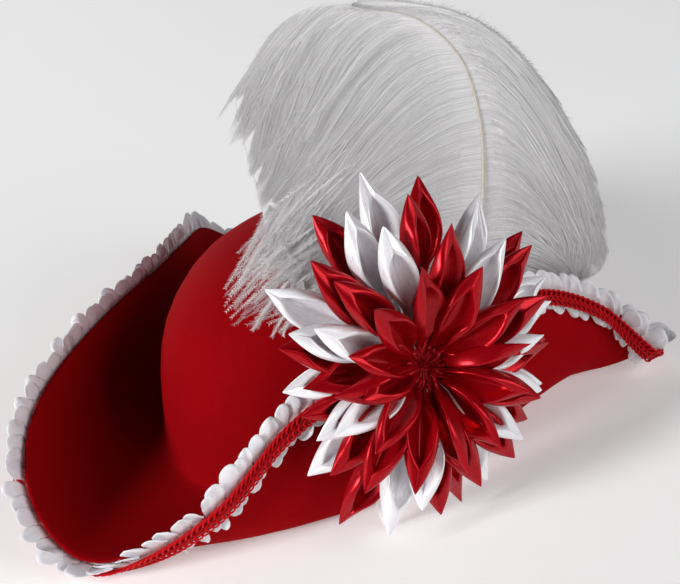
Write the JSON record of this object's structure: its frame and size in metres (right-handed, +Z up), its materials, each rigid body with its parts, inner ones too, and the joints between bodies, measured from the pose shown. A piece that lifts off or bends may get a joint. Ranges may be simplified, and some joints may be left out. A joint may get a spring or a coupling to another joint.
{
  "type": "tricorn hat",
  "caption": "Red felt tricorn hat: round crown, brim cocked up into flaps, ruched ribbon edge with gimp braid, folded-ribbon flower on the left flap and a drooping plume behind it.",
  "frame": {"origin": "middle of the hat's box, on the surface that the hat rests on", "axes": "+Z up through the crown, the front point faces -Y, and the flower and plume are on the wearer's left, +X"},
  "size_m": [0.3382, 0.3362, 0.24],
  "materials": {
    "red_felt": "blocked wool felt with a short nap",
    "white_ribbon": "ruched satin ribbon",
    "red_braid": "gimp braid of scrolled cord",
    "white_satin": "satin ribbon, folded into petals",
    "red_satin": "satin ribbon, folded into petals",
    "plume": "long soft feather barbs",
    "quill": "feather shaft, horn-like"
  },
  "bodies": {
    "root": {"felt_body": "red_felt", "ribbon_ruffle": "white_ribbon", "gimp_braid": "red_braid", "flower_pad": "red_felt", "petals_white_back": "white_satin", "petals_red_back": "red_satin", "petals_white_outer": "white_satin", "petals_red_outer": "red_satin", "petals_white_middle": "white_satin", "petals_red_middle": "red_satin", "petals_red_inner": "red_satin", "flower_centre": "red_satin", "plume_quill": "quill", "plume_barbs": "plume"}
  },
  "joints": []
}
